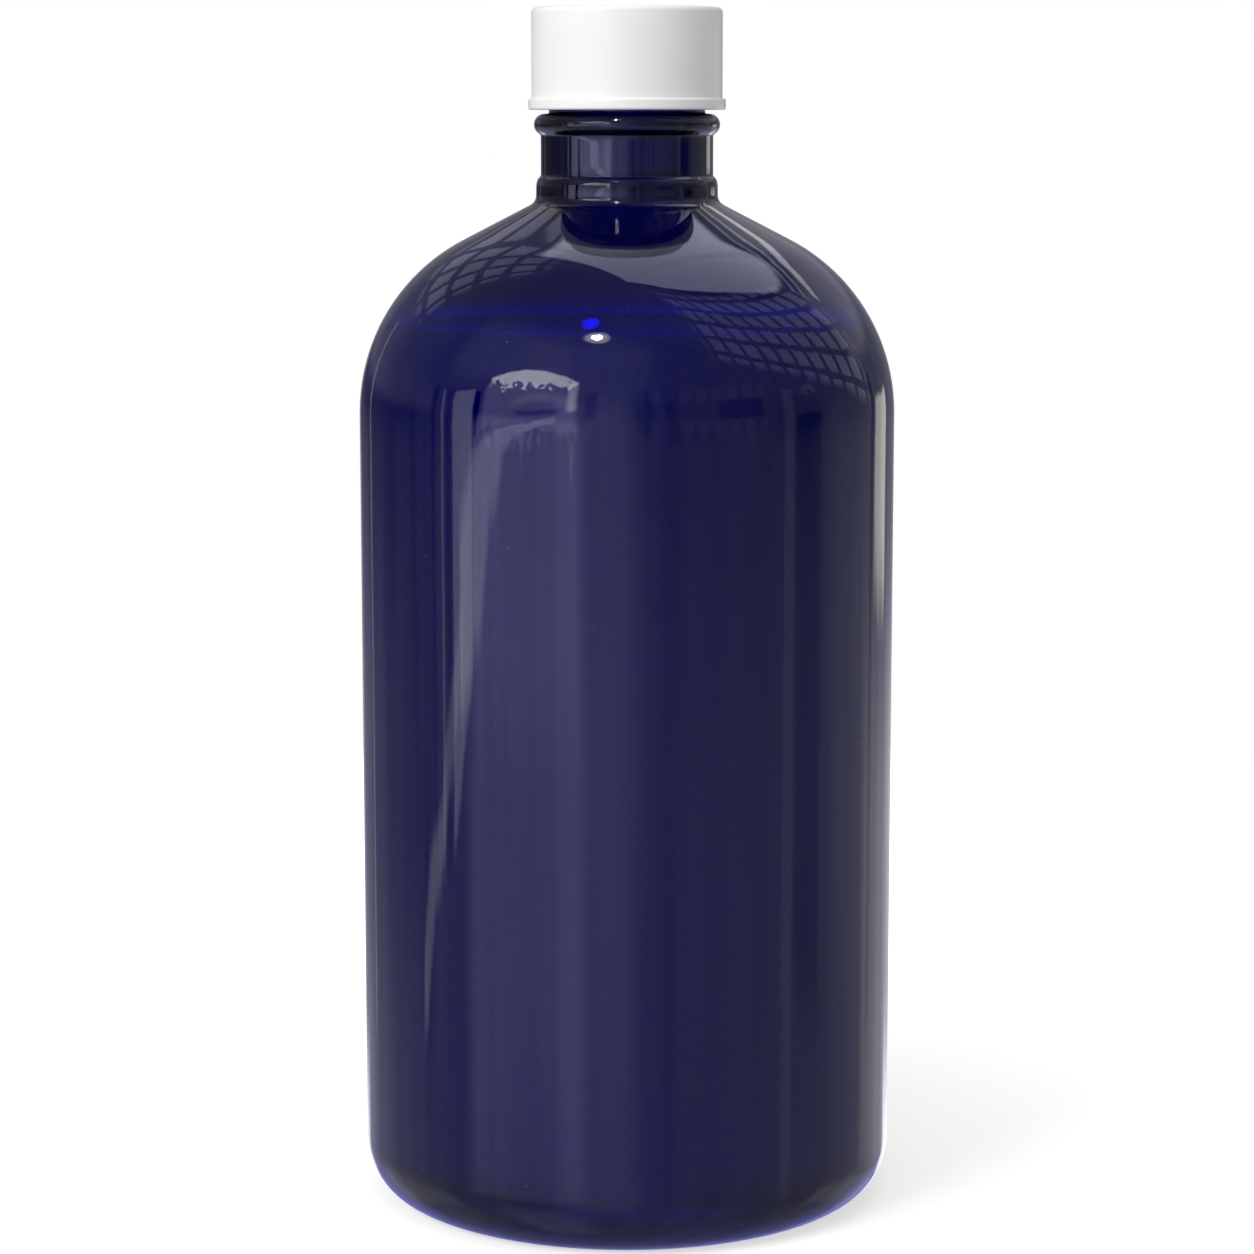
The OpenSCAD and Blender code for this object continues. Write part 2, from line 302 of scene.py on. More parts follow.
def turned_mesh(name, radius, height, angle):
    """A mesh whose point in row i and column j is (r cos a, r sin a, z). The first and last rows lie on the
    axis and become one point each, so both poles and the seam between the columns are closed."""
    rows, columns = radius.shape
    x, y = radius * np.cos(angle), radius * np.sin(angle)
    ring = np.stack([x, y, height], axis=2)[1:-1].reshape(-1, 3)
    poles = np.array([[0, 0, height[0, 0]], [0, 0, height[-1, 0]]])
    points = np.concatenate([ring, poles])
    index = np.arange((rows - 2) * columns).reshape(rows - 2, columns)
    after = np.roll(index, -1, axis=1)
    quads = np.stack([index[:-1], after[:-1], after[1:], index[1:]], axis=2).reshape(-1)
    low = np.full(columns, len(ring))
    first = np.stack([low, after[0], index[0]], axis=1).reshape(-1)
    last = np.stack([index[-1], after[-1], low + 1], axis=1).reshape(-1)
    corners = np.concatenate([quads, first, last])
    sides = np.concatenate([np.full(len(quads) // 4, 4), np.full(2 * columns, 3)])
    mesh = bpy.data.meshes.new(name)
    mesh.vertices.add(len(points))
    mesh.vertices.foreach_set("co", points.astype(np.float32).ravel())
    mesh.loops.add(len(corners))
    mesh.loops.foreach_set("vertex_index", corners.astype(np.int32))
    mesh.polygons.add(len(sides))
    mesh.polygons.foreach_set("loop_start", (np.cumsum(sides) - sides).astype(np.int32))
    mesh.polygons.foreach_set("use_smooth", np.ones(len(sides), bool))
    mesh.update(calc_edges=True)
    mesh.validate()
    piece = bpy.data.objects.new(name, mesh)
    bpy.context.scene.collection.objects.link(piece)
    return piece


def grid_of(rows, columns):
    """The radius, height and direction of each point when rows of (r, z) are turned about the axis."""
    angle = np.linspace(0, 2 * pi, columns, endpoint=False)[None, :]
    radius = np.repeat(rows[:, :1], columns, axis=1)
    height = np.repeat(rows[:, 1:], columns, axis=1)
    return radius, height, angle


def finished(piece, material, body, node):
    """Gives a piece its material and its body, and hides the solid that it stands for."""
    piece.data.materials.append(material)
    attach(piece, body)
    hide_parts(node)
    return piece


def mouth_thread_z(s):
    """Height of the middle of the mouth's thread at its lower end."""
    return BOTTLE_HIGH.z - s.thread_drop - s.thread_turns * s.thread_pitch


def make_bottle(s):
    """The glass: its outline turned about the axis, with the thread raised on the mouth and small ribs
    cut up into the bearing ring."""
    rim = (s.bore_r + s.mouth_round, BOTTLE_HIGH.z - s.mouth_round)
    outline = np.concatenate([
        outer_outline(s),
        arc(rim, s.mouth_round, s.mouth_round, pi / 2, pi),
        throat(s)[::-1],
        inner_shoulder(s)[::-1],
    ])
    thread_z = mouth_thread_z(s)
    thread_top = BOTTLE_HIGH.z - s.mouth_round
    rows = rows_along(
        rounded(outline, GLASS_ROUNDING), GLASS_ROW, s.finish_r, thread_z - s.thread_pitch / 2, thread_top
    )
    radius, height, angle = grid_of(rows, GLASS_COLUMNS)
    on_mouth = np.abs(radius - s.finish_r) < OUTLINE_STEP
    thread = thread_relief(
        height, angle, thread_z, s.thread_start, s.thread_pitch, s.thread_turns, s.thread_w, s.thread_h,
        s.thread_flank,
    )
    radius = radius + np.where(on_mouth, thread, 0)
    ring_out = BOTTLE_HIGH.x - s.heel_w
    across = (ring_out - radius) / s.bearing_w
    on_ring = (height < s.stipple_h) & (across > 0) & (across < 1)
    rib = (0.5 + 0.5 * np.cos(s.stipples * angle)) * np.sin(pi * np.clip(across, 0, 1))
    height = height + np.where(on_ring, s.stipple_h * rib, 0)
    return turned_mesh("blown_bottle", radius, height, angle)


def make_liquid(s):
    """The liquid: the glass's inner wall up to the level, then a curved edge that falls from the glass by
    exp(-distance / width), and a flat surface in to the axis."""
    side = inner_shoulder(s, -s.wetting)
    level = LIQUID_HIGH.z
    edge_z = level + s.meniscus_h
    below = side[side[:, 1] < edge_z]
    edge_r = np.interp(edge_z, side[:, 1], side[:, 0])
    across = np.linspace(0, 1, 400)[:, None] ** 2
    surface_r = edge_r * (1 - across)
    rise = s.meniscus_h * np.exp(-(edge_r - surface_r) / s.meniscus_w)
    surface = np.concatenate([surface_r, level + rise], axis=1)
    rows = rows_along(rounded(np.concatenate([below, surface]), PLASTIC_ROUNDING), 2 * GLASS_ROW)
    return turned_mesh("still_liquid", *grid_of(rows, SMALL_COLUMNS))


def make_cap(s, bottle):
    """The cap: inner top, skirt with its thread, lip, rounded top edge and the dimple of the gate."""
    lip_r, low, high = CAP_HIGH.x, CAP_LOW.z, CAP_HIGH.z
    outer_r = lip_r - s.lip_w
    inner_r = outer_r - s.wall
    inner_top = high - s.top_t
    edge = (outer_r - s.edge_r, high - s.edge_r)
    across = np.linspace(1, 0, 60)
    gate = np.stack([s.gate_r * across, high - s.gate_depth * (1 - across**2) ** 2], axis=1)
    outline = np.concatenate([
        [(0, inner_top), (inner_r, inner_top), (inner_r, low + s.skirt_bevel)],
        [(inner_r + s.skirt_bevel, low), (lip_r - s.lip_bevel, low), (lip_r, low + s.lip_bevel)],
        [(lip_r, low + s.lip_h - s.lip_bevel), (lip_r - s.lip_bevel, low + s.lip_h)],
        [(outer_r, low + s.lip_h)],
        arc(edge, s.edge_r, s.edge_r, 0, pi / 2),
        gate,
    ])
    skirt = (inner_r, low + 2 * s.skirt_bevel, inner_top - s.edge_r)
    rows = rows_along(rounded(outline, PLASTIC_ROUNDING), GLASS_ROW, *skirt)
    radius, height, angle = grid_of(rows, SMALL_COLUMNS)
    reach = (bottle.thread_h - s.foot_gap) * tan(bottle.thread_flank)
    offset = (bottle.thread_w + s.thread_w) / 2 + reach + s.thread_play
    extra = s.thread_turns - bottle.thread_turns
    thread = thread_relief(
        height, angle, mouth_thread_z(bottle) - offset - extra * bottle.thread_pitch,
        bottle.thread_start - 2 * pi * extra, bottle.thread_pitch, s.thread_turns, s.thread_w, s.thread_h,
        bottle.thread_flank,
    )
    on_skirt = np.abs(radius - inner_r) < OUTLINE_STEP
    radius = radius - np.where(on_skirt, thread, 0)
    return turned_mesh("screw_cap", radius, height, angle)


def make_disc(s, bottle):
    """The sealing disc, with the print of the mouth's rim: a shallow groove as wide as the rim."""
    outer_r, low, high = LINER_HIGH.x, LINER_LOW.z, LINER_HIGH.z
    rim_middle = (bottle.finish_r + bottle.bore_r) / 2
    rim_half = (bottle.finish_r - bottle.bore_r) / 2
    r = np.linspace(0, outer_r, 300)
    groove = s.imprint * np.exp(-(((r - rim_middle) / rim_half) ** 4))
    under = np.stack([r, low + groove], axis=1)
    outline = np.concatenate([under, [(outer_r, high), (0, high)]])
    rows = rows_along(rounded(outline, PLASTIC_ROUNDING), GLASS_ROW / 4)
    return turned_mesh("sealing_disc", *grid_of(rows, SMALL_COLUMNS))


def add(tree, kind, inputs=None, **options):
    """Adds a node to a tree with its options, and sets or links its inputs."""
    made = tree.nodes.new(kind)
    for name, value in options.items():
        setattr(made, name, value)
    for name, value in (inputs or {}).items():
        if isinstance(value, bpy.types.NodeSocket):
            tree.links.new(value, made.inputs[name])
        else:
            made.inputs[name].default_value = value
    return made


def work(tree, operation, *values):
    """The output of a maths node that takes these values or sockets in order."""
    made = add(tree, "ShaderNodeMath", dict(enumerate(values)), operation=operation)
    return made.outputs[0]


def vector_work(tree, operation, *values, **inputs):
    """The output of a vector maths node that takes these vectors in order."""
    made = add(tree, "ShaderNodeVectorMath", {**dict(enumerate(values)), **inputs}, operation=operation)
    return made.outputs["Value" if operation in ("LENGTH", "DOT_PRODUCT") else "Vector"]


def noise(tree, vector, scale, detail, **inputs):
    """A soft noise from 0 to 1 of a place or direction."""
    made = add(tree, "ShaderNodeTexNoise", {"Vector": vector, "Scale": scale, "Detail": detail, **inputs})
    return made.outputs["Fac"]


def ramp(tree, value, low, high, start=0.0, end=1.0):
    """A smooth step of a value, from start at low to end at high."""
    inputs = {"Value": value, "From Min": low, "From Max": high, "To Min": start, "To Max": end}
    made = add(tree, "ShaderNodeMapRange", inputs, interpolation_type="SMOOTHSTEP")
    return made.outputs["Result"]


def ramp_line(tree, value, start, end):
    """A value from 0 to 1 as a straight line from start to end."""
    return work(tree, "MULTIPLY_ADD", value, end - start, start)


def blend(tree, share, first, second, **options):
    """The output of a colour mix from first to second."""
    made = add(tree, "ShaderNodeMix", data_type="RGBA", **options)
    for index, value in ((0, share), (6, first), (7, second)):
        if isinstance(value, bpy.types.NodeSocket):
            tree.links.new(value, made.inputs[index])
        else:
            made.inputs[index].default_value = value
    return made.outputs[2]


def mixed_shader(tree, share, first, second):
    """The output of a mix of two shaders, from first to second."""
    return add(tree, "ShaderNodeMixShader", {0: share, 1: first, 2: second}).outputs["Shader"]


def opaque(shade):
    """A colour with full alpha."""
    return (*shade, 1.0)


def darker(shade, share):
    """A share of a colour, with full alpha."""
    return opaque([share * part for part in shade])


def new_group(name, inputs, outputs):
    """An empty shader node group with its named sockets, and its input and output nodes."""
    group = bpy.data.node_groups.new(name, "ShaderNodeTree")
    for socket, kind, value in inputs:
        made = group.interface.new_socket(socket, in_out="INPUT", socket_type=kind)
        if value is not None:
            made.default_value = value
    for socket, kind in outputs:
        group.interface.new_socket(socket, in_out="OUTPUT", socket_type=kind)
    return group, add(group, "NodeGroupInput"), add(group, "NodeGroupOutput")


def use_group(tree, group, **values):
    """Places a group in a tree; underscores in the names of its inputs stand for spaces."""
    inputs = {name.replace("_", " "): value for name, value in values.items()}
    return add(tree, "ShaderNodeGroup", inputs, node_tree=group)


VALUE, VECTOR, COLOUR = "NodeSocketFloat", "NodeSocketVector", "NodeSocketColor"


def make_skin_group():
    """Slow and quick waves of a surface: two layers of noise, each with its own size and share."""
    group, given, out = new_group(
        "Uneven skin",
        [("Vector", VECTOR, None), ("Slow scale", VALUE, 25.0), ("Quick scale", VALUE, 900.0),
         ("Quick share", VALUE, 0.05)],
        [("Height", VALUE)],
    )
    get = given.outputs
    slow = noise(group, get["Vector"], get["Slow scale"], 1.0, Roughness=0.4)
    quick = noise(group, get["Vector"], get["Quick scale"], 2.0)
    grain = work(group, "MULTIPLY", quick, get["Quick share"])
    group.links.new(work(group, "ADD", slow, grain), out.inputs["Height"])
    return group


# shares of a cell: half a hairline's width, where its ends fade, the cells with one, and a speck's edge
HAIRLINE_HALF, HAIRLINE_ENDS, HAIRLINES_KEPT = 0.0026, (0.10, 0.34), 0.12
SPECK_EDGE = (0.03, 0.09)


def make_wear_group():
    """Handling marks. A hairline lies where a plane through a cell's middle, leaning at random, cuts the
    surface, near that middle, in one cell of eight; specks are the middles of a few small cells; smears
    are a soft cloud."""
    group, given, out = new_group(
        "Handling wear",
        [("Vector", VECTOR, None), ("Hairline scale", VALUE, 45.0), ("Speck scale", VALUE, 350.0),
         ("Specks kept", VALUE, 0.12)],
        [("Hairlines", VALUE), ("Specks", VALUE), ("Smears", VALUE)],
    )
    vector, scale = given.outputs["Vector"], given.outputs["Hairline scale"]
    cells = add(group, "ShaderNodeTexVoronoi", {"Vector": vector, "Scale": scale})
    middle = vector_work(group, "SCALE", cells.outputs["Position"], Scale=scale)
    away = vector_work(group, "SUBTRACT", vector_work(group, "SCALE", vector, Scale=scale), middle)
    lean = vector_work(group, "SUBTRACT", cells.outputs["Color"], (0.5, 0.5, 0.5))
    across = vector_work(group, "DOT_PRODUCT", away, vector_work(group, "NORMALIZE", lean))
    thin = ramp(group, work(group, "ABSOLUTE", across), 0.0, HAIRLINE_HALF, 1.0, 0.0)
    short = ramp(group, cells.outputs["Distance"], *HAIRLINE_ENDS, 1.0, 0.0)
    pick = add(group, "ShaderNodeSeparateColor", {"Color": cells.outputs["Color"]})
    kept = work(group, "LESS_THAN", pick.outputs["Green"], HAIRLINES_KEPT)
    line = work(group, "MULTIPLY", work(group, "MULTIPLY", thin, short), kept)
    group.links.new(line, out.inputs["Hairlines"])
    dots = add(group, "ShaderNodeTexVoronoi", {"Vector": vector, "Scale": given.outputs["Speck scale"]})
    middle = ramp(group, dots.outputs["Distance"], *SPECK_EDGE, 1.0, 0.0)
    chance = add(group, "ShaderNodeSeparateColor", {"Color": dots.outputs["Color"]})
    few = work(group, "LESS_THAN", chance.outputs["Red"], given.outputs["Specks kept"])
    group.links.new(work(group, "MULTIPLY", middle, few), out.inputs["Specks"])
    group.links.new(ramp(group, noise(group, vector, 38.0, 4.0), 0.45, 0.75), out.inputs["Smears"])
    return group


def skin_of(tree, place, slow, quick, share):
    """The height of an uneven skin with these scales and this share of quick waves."""
    group = shared("Uneven skin", make_skin_group)
    made = use_group(tree, group, Vector=place, Slow_scale=slow, Quick_scale=quick, Quick_share=share)
    return made.outputs["Height"]


def new_material(name):
    """A material with an empty tree, and its Object coordinates."""
    material = bpy.data.materials.new(name)
    material.use_nodes = True
    tree = material.node_tree
    tree.nodes.clear()
    return material, tree, add(tree, "ShaderNodeTexCoord").outputs["Object"]


def shared(name, make):
    """The node group of that name, made the first time that it is asked for."""
    return bpy.data.node_groups.get(name) or make()


SHOULDER_SHADE_SPAN = ((161.0 * MM, 161.8 * MM), (172.0 * MM, 178.0 * MM))  # where the painted shade in the shoulder starts and ends
# share of the glass's tint kept in the shoulder: painted shade
SHOULDER_SHADE_SHARE = 0.59


def glass_material(finish):
    """Deep blue glass. Light takes its colour on the way through it, and the surface tint is darker in the
    shoulder, painted shade that dims what is seen through it there. Its slow unevenness bends what it
    mirrors, and smears, hairlines and specks roughen it a little."""
    material, tree, place = new_material("blue_glass")
    skin = skin_of(tree, place, 26.0, 420.0, 0.004)
    wear = use_group(tree, shared("Handling wear", make_wear_group), Vector=place, Specks_kept=0.07)
    smears = ramp(tree, wear.outputs["Smears"], 0.0, 1.0, 0.012, 0.05)
    roughness = work(tree, "MULTIPLY_ADD", wear.outputs["Hairlines"], 0.10, smears)
    roughness = work(tree, "MULTIPLY_ADD", wear.outputs["Specks"], 0.35, roughness)
    raised = work(tree, "MULTIPLY_ADD", wear.outputs["Specks"], 0.5, skin)
    bump = add(tree, "ShaderNodeBump", {"Height": raised, "Distance": finish.unevenness, "Strength": 1.0})
    height = add(tree, "ShaderNodeSeparateXYZ", {"Vector": place}).outputs["Z"]
    low, high = SHOULDER_SHADE_SPAN
    # painted shade: the glass's surface tint is made darker over the shoulder, standing in for the dim
    # light seen through it there
    painted_shoulder_shade = work(tree, "MULTIPLY", ramp(tree, height, *low), ramp(tree, height, *high, 1.0, 0.0))
    tint = blend(tree, painted_shoulder_shade, opaque(finish.glass_tint), darker(finish.glass_tint, SHOULDER_SHADE_SHARE))
    dusty = darker(finish.glass_tint, 0.82)
    shader = add(tree, "ShaderNodeBsdfPrincipled", {
        "Base Color": blend(tree, wear.outputs["Specks"], tint, dusty), "Roughness": roughness, "IOR": 1.52,
        "Metallic": 0.0, "Transmission Weight": 1.0, "Normal": bump.outputs["Normal"],
    })
    inside = add(tree, "ShaderNodeVolumeAbsorption", {
        "Color": opaque(finish.glass_body), "Density": finish.glass_density,
    })
    add(tree, "ShaderNodeOutputMaterial", {
        "Surface": shader.outputs["BSDF"], "Volume": inside.outputs["Volume"],
    })
    return material


PAINTED_FOOT_LIGHT = (7.0 * MM, 14.0 * MM)  # heights between which the painted light from the base fades on the liquid
PAINTED_FOOT_GAIN = 1.8
PAINTED_TOP_EDGE = (0.5 * MM, 0.1 * MM)  # how far below its level the painted reflection on the liquid's surface starts and is full


def liquid_material(finish):
    """Still, dark liquid that wets the glass, a little cloudy in slow swirls. Its colour is brightened near
    the base as painted light coming up through the glass, and lighter at its surface as a painted
    reflection."""
    material, tree, place = new_material("dark_liquid")
    cloud = ramp(tree, noise(tree, place, 14.0, 3.0, Distortion=0.6), 0.3, 0.7)
    height = add(tree, "ShaderNodeSeparateXYZ", {"Vector": place}).outputs["Z"]
    # painted reflection: the liquid's top takes a lighter colour, standing in for the light that it mirrors
    surface = ramp(tree, height, *(LIQUID_HIGH.z - below for below in PAINTED_TOP_EDGE))
    # painted light: the liquid's colour is brightened near the base, standing in for light coming up
    # through the glass
    foot = ramp(tree, height, *PAINTED_FOOT_LIGHT, 1.0, 0.0)
    body = blend(tree, cloud, darker(finish.liquid, 0.86), opaque(finish.liquid))
    main = blend(tree, foot, body, darker(finish.liquid, PAINTED_FOOT_GAIN))
    bump = add(tree, "ShaderNodeBump", {"Height": noise(tree, place, 60.0, 1.0), "Distance": 0.02 * MM})
    shader = add(tree, "ShaderNodeBsdfPrincipled", {
        "Base Color": blend(tree, surface, main, opaque(finish.liquid_top_reflection)),
        "Roughness": ramp(tree, cloud, 0.0, 1.0, 0.25, 0.35), "IOR": 1.4, "Specular IOR Level": 0.0,
        "Normal": bump.outputs["Normal"],
    })
    add(tree, "ShaderNodeOutputMaterial", {"Surface": shader.outputs["BSDF"]})
    return material


def plastic_material(finish):
    """Satin white moulding: a faint flow of shade, fine grain, scuffs and a few specks."""
    material, tree, place = new_material("white_plastic")
    skin = skin_of(tree, place, 90.0, 2600.0, 0.25)
    wear = use_group(
        tree, shared("Handling wear", make_wear_group), Vector=place, Hairline_scale=160.0,
        Speck_scale=600.0, Specks_kept=0.05,
    )
    base = blend(tree, skin, darker(finish.plastic, 0.965), opaque(finish.plastic))
    soiled = work(tree, "MULTIPLY", wear.outputs["Specks"], 0.35)
    base = blend(tree, soiled, base, darker(finish.plastic, 0.8))
    roughness = ramp(tree, wear.outputs["Smears"], 0.0, 1.0, 0.30, 0.42)
    roughness = work(tree, "MULTIPLY_ADD", wear.outputs["Hairlines"], 0.2, roughness)
    bump = add(tree, "ShaderNodeBump", {"Height": skin, "Distance": 0.02 * MM})
    shader = add(tree, "ShaderNodeBsdfPrincipled", {
        "Base Color": base, "Roughness": roughness, "IOR": 1.49, "Normal": bump.outputs["Normal"],
    })
    add(tree, "ShaderNodeOutputMaterial", {"Surface": shader.outputs["BSDF"]})
    return material


def foam_material(finish):
    """Matt closed-cell foam: small round cells that are slightly sunk, with painted shade in their sunk
    middles.
    """
    material, tree, place = new_material("sealing_foam")
    cells = add(tree, "ShaderNodeTexVoronoi", {"Vector": place, "Scale": 2600.0})
    sunk = ramp(tree, cells.outputs["Distance"], 0.1, 0.5, 0.0, 1.0)
    skin = skin_of(tree, place, 120.0, 1500.0, 0.3)
    bump = add(tree, "ShaderNodeBump", {
        "Height": work(tree, "ADD", sunk, skin), "Distance": 0.04 * MM,
    })
    shader = add(tree, "ShaderNodeBsdfPrincipled", {
        # painted shade: the sunk middles of the cells are darker
        "Base Color": blend(tree, sunk, darker(finish.foam, 0.85), opaque(finish.foam)),
        "Roughness": ramp(tree, skin, 0.2, 1.0, 0.55, 0.8),
        "Normal": bump.outputs["Normal"],
    })
    add(tree, "ShaderNodeOutputMaterial", {"Surface": shader.outputs["BSDF"]})
    return material


def make_panel_group():
    """One soft-edged light panel in the mirrored studio. A direction lies in it when its azimuth is within
    the half width of the centre and its elevation within the half height of a middle line, which is
    tilted, and dropped by the square of the share of the half width. A flatness of 1 keeps the lower edge
    from dropping and raises it by the height of the leaves below it."""
    group, given, out = new_group(
        "Soft panel",
        [("Azimuth", VALUE, 0.0), ("Elevation", VALUE, 0.0), ("Centre azimuth", VALUE, 0.0),
         ("Centre elevation", VALUE, 0.0), ("Half width", VALUE, 10.0), ("Half height", VALUE, 10.0),
         ("Tilt", VALUE, 0.0), ("Drop", VALUE, 0.0), ("Flatness", VALUE, 0.0), ("Leaves", VALUE, 0.0),
         ("Edge", VALUE, 2.0), ("Level", VALUE, 1.0)],
        [("Level", VALUE)],
    )
    get = given.outputs
    aside = work(group, "SUBTRACT", get["Azimuth"], get["Centre azimuth"])
    aside = work(group, "WRAP", aside, 180.0, -180.0)
    share = work(group, "DIVIDE", aside, get["Half width"])
    fall = work(group, "MULTIPLY", work(group, "MULTIPLY", share, share), get["Drop"])
    middle = work(group, "MULTIPLY_ADD", aside, get["Tilt"], get["Centre elevation"])
    over = work(group, "SUBTRACT", get["Elevation"], middle)
    kept = work(group, "SUBTRACT", 1.0, get["Flatness"])
    below_top = work(group, "SUBTRACT", get["Half height"], work(group, "ADD", over, fall))
    above_foot = work(group, "ADD", get["Half height"], work(group, "MULTIPLY_ADD", fall, kept, over))
    leaves = work(group, "MULTIPLY", get["Leaves"], get["Flatness"])
    above_foot = work(group, "SUBTRACT", above_foot, leaves)
    beside = work(group, "ABSOLUTE", aside)
    inside_w = work(group, "DIVIDE", work(group, "SUBTRACT", get["Half width"], beside), get["Edge"])
    inside_h = work(group, "DIVIDE", work(group, "MINIMUM", below_top, above_foot), get["Edge"])
    both = work(group, "MULTIPLY", ramp(group, inside_w, -0.5, 0.5), ramp(group, inside_h, -0.5, 0.5))
    group.links.new(work(group, "MULTIPLY", both, get["Level"]), out.inputs["Level"])
    return group


WARM, NEUTRAL, COOL = (1.0, 0.97, 0.88), (1.0, 1.0, 1.03), (0.92, 0.96, 1.12)
BLUE, DARK, FOOT = (0.96, 0.98, 1.50), (1.0, 0.7, 1.3), (0.0, 0.0, 1.0)
PANELS = (
    # what it stands for, centre azimuth and elevation, half width and height, edge, level, tone, and
    # where they aren't 0 its tilt, drop and flatness
    ("glow over the arch", -38, 34, 48, 15, 16, 0.20, NEUTRAL),
    ("inside of the arch", -43, 10, 21, 13, 3, 0.66, BLUE, 0, 5, 1),
    ("top of the arch", -42, 24.9, 20.6, 4.4, 1.2, 5.2, NEUTRAL, 0.06, 6.5, 1),
    ("side of the arch", -23.6, 15.5, 1.9, 7.5, 2.4, 2.4, NEUTRAL),
    ("hedge in the arch", -38, 15, 12, 2.2, 3, 0.5, NEUTRAL, 0.1, 3),
    ("light beside the arch", -25.5, 5, 5.2, 8, 2.2, 0.30, BLUE),
    ("light past the arch", -12, -3, 14, 18, 22, 0.42, BLUE),
    ("shade in the arch", -38, 6.8, 10, 1.3, 1.6, -0.45, NEUTRAL, 0.12),
    ("side pane", -73.9, 1.5, 5.2, 12.2, 0.9, 1.02, COOL, 0.25),
    ("edge of the side pane", -67.0, 5, 0.9, 9, 0.8, -0.55, NEUTRAL),
    ("narrow gap", -84.8, 0, 0.7, 12.3, 0.8, 0.62, NEUTRAL),
    ("edge of the gap", -81.6, 0, 0.9, 12.6, 1.0, -0.12, NEUTRAL),
    ("dark line", -90.0, 0, 1.2, 13, 1.4, -0.12, NEUTRAL),
    ("far pane", -96.0, 0, 4.5, 12, 3, 0.07, NEUTRAL),
    ("farthest pane", -143, 0, 0.8, 15, 1.6, 0.36, NEUTRAL),
    ("dark corner on the left", -127, -6, 36, 8, 5, -0.13, NEUTRAL),
    ("light along the floor", -53, -3.6, 22.5, 1.7, 1.3, 1.25, COOL, 0.26, -1.0),
    ("edge of the floor", -86.5, -11.4, 12, 0.7, 0.9, 0.8, NEUTRAL, 0.22),
    ("lit floor", -45, -8.5, 25, 10, 9, 0.50, BLUE),
    ("edge of the lit floor", -44, -3.5, 24, 6.5, 3, 0.26, BLUE),
    ("lit floor in front", -42, -50, 19, 18, 16, 0.20, BLUE),
    ("floor on the left side", -115, -29, 28, 8, 10, 0.22, NEUTRAL),
    ("floor on the right side", 126, -29, 32, 8, 10, 0.24, NEUTRAL),
    ("light from the foot", -12, -34, 88, 9, 16, 0.32, FOOT),
    ("right opening", 140, -3.6, 7, 4.0, 2.0, 1.35, WARM),
    ("floor on the right", 146, -14, 22, 5, 6, 0.36, WARM),
    ("patch on the floor", 178, -18.5, 23, 2.8, 3, 1.1, WARM),
    ("glow behind", 180, 0, 16, 14, 8, 0.05, NEUTRAL),
    ("dark bays", 96, 3, 30, 8, 5, -0.05, DARK),
    ("dark bay", 83.5, -6, 7.0, 8.5, 2.4, -0.11, NEUTRAL),
    ("arch of the bay", 84, 12.5, 5.5, 2.6, 1.2, 0.22, NEUTRAL, 0, 5, 1),
    ("second bay", 112, -4, 18, 12, 16, 0.12, NEUTRAL),
    ("dark edge of a bay", 129.5, -4, 1.2, 11, 1.4, -0.16, NEUTRAL),
    ("pillar", 72.5, -6, 2.6, 20, 1.4, 0.15, NEUTRAL),
    ("wall behind", 148, 24, 27, 12, 6, 0.26, NEUTRAL),
    ("sky", 164, 83, 46, 40, 3, 1.5, COOL, 0.1, -8),
    ("sky overhead", 96, 93, 22, 30, 3, 1.5, COOL, -0.72),
    ("shade under the sky", 96, 59.5, 22, 2.2, 3, -0.10, NEUTRAL, -0.72),
    ("bright roof edge", 149, 34.5, 17, 1.3, 1.4, 1.4, NEUTRAL, -0.15, 6),
    ("second roof edge", 147, 38.8, 20, 0.5, 0.9, 0.8, COOL, -0.12, 5),
    ("third roof edge", 147, 41.6, 20, 0.5, 0.8, 0.6, COOL, -0.10, 4),
    ("first door", 7, 9, 4, 12, 1.4, -0.10, NEUTRAL),
    ("second door", 19, 8, 2.5, 12, 1.4, -0.08, NEUTRAL),
    ("third door", -15.5, 11, 2.2, 8, 1.2, -0.22, NEUTRAL),
    ("shelf", 50, 8, 10, 4.5, 1.6, -0.10, NEUTRAL),
)
SPOTS = (
    # azimuth and elevation, half width and height across the line of sight, level, and the level of the
    # glow round it, for rays that the outside mirrors, for rays from inside and for rays mirrored twice
    (-17.8, 50.9, 1.9, 1.35, 500.0, 5.0),
    (-28.6, 62.5, 2.8, 3.4, 500.0, 0.0),
    (-20.0, 56.0, 1.7, 1.8, 500.0, 0.0),
)
PANES = (
    # what it stands for, centre azimuth and elevation, half width and height, tilt, level, and the width
    # and height of a pane
    ("roof on the right", 85, 41, 42, 23, -0.43, 0.42, 8.0, 9.5),
    ("roof on the left", -150, 42, 24, 20, 0.12, 0.38, 10.0, 9.0),
    ("pillars in front", 22, 8, 40, 12, 0, 0.09, 7.0, 40.0),
)


def wavering(tree, direction, angle, scale, reach):
    """An angle that wavers by up to half of reach with a noise of the direction."""
    wave = ramp_line(tree, noise(tree, direction, scale, 3.5), -reach / 2, reach / 2)
    return work(tree, "ADD", angle, wave)


